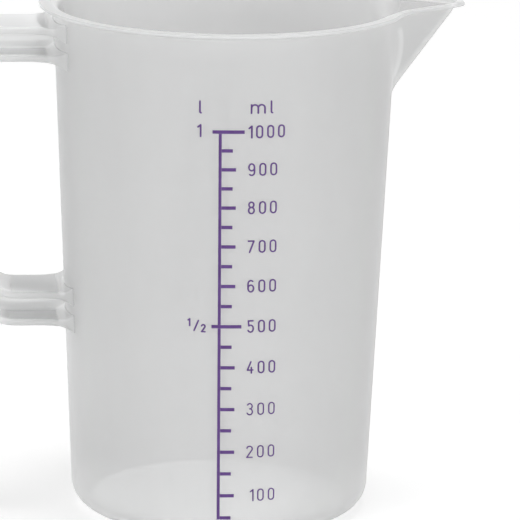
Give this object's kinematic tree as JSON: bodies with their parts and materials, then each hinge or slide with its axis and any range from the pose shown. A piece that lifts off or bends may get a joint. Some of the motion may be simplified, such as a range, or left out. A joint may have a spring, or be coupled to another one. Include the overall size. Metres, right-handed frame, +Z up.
{
  "type": "measuring cup",
  "caption": "Tapered translucent measuring jug with a turned-out rim, a pouring beak, an open I-section handle, a printed scale on the front and a raised scale on the back.",
  "frame": {"origin": "middle of the foot, on the cup's own axis, at the level the jug stands on", "axes": "+Z up along the cup's axis, +X towards the pouring beak, -X towards the handle, -Y towards the printed scale"},
  "size_m": [0.1709, 0.1184, 0.1645],
  "materials": {
    "translucent_plastic": "natural translucent polypropylene, satin",
    "scale_ink": "violet screen-printed ink, satin"
  },
  "bodies": {
    "root": {"cup_body": "translucent_plastic", "handle": "translucent_plastic", "relief_scale": "translucent_plastic", "scale_spine_1": "scale_ink", "scale_spine_2": "scale_ink", "scale_mark_0050_ml": "scale_ink", "scale_mark_0100_ml": "scale_ink", "scale_mark_0150_ml": "scale_ink", "scale_mark_0200_ml": "scale_ink", "scale_mark_0250_ml": "scale_ink", "scale_mark_0300_ml": "scale_ink", "scale_mark_0350_ml": "scale_ink", "scale_mark_0400_ml": "scale_ink", "scale_mark_0450_ml": "scale_ink", "scale_mark_0500_ml": "scale_ink", "scale_mark_0550_ml": "scale_ink", "scale_mark_0600_ml": "scale_ink", "scale_mark_0650_ml": "scale_ink", "scale_mark_0700_ml": "scale_ink", "scale_mark_0750_ml": "scale_ink", "scale_mark_0800_ml": "scale_ink", "scale_mark_0850_ml": "scale_ink", "scale_mark_0900_ml": "scale_ink", "scale_mark_0950_ml": "scale_ink", "scale_mark_1000_ml": "scale_ink"}
  },
  "joints": []
}
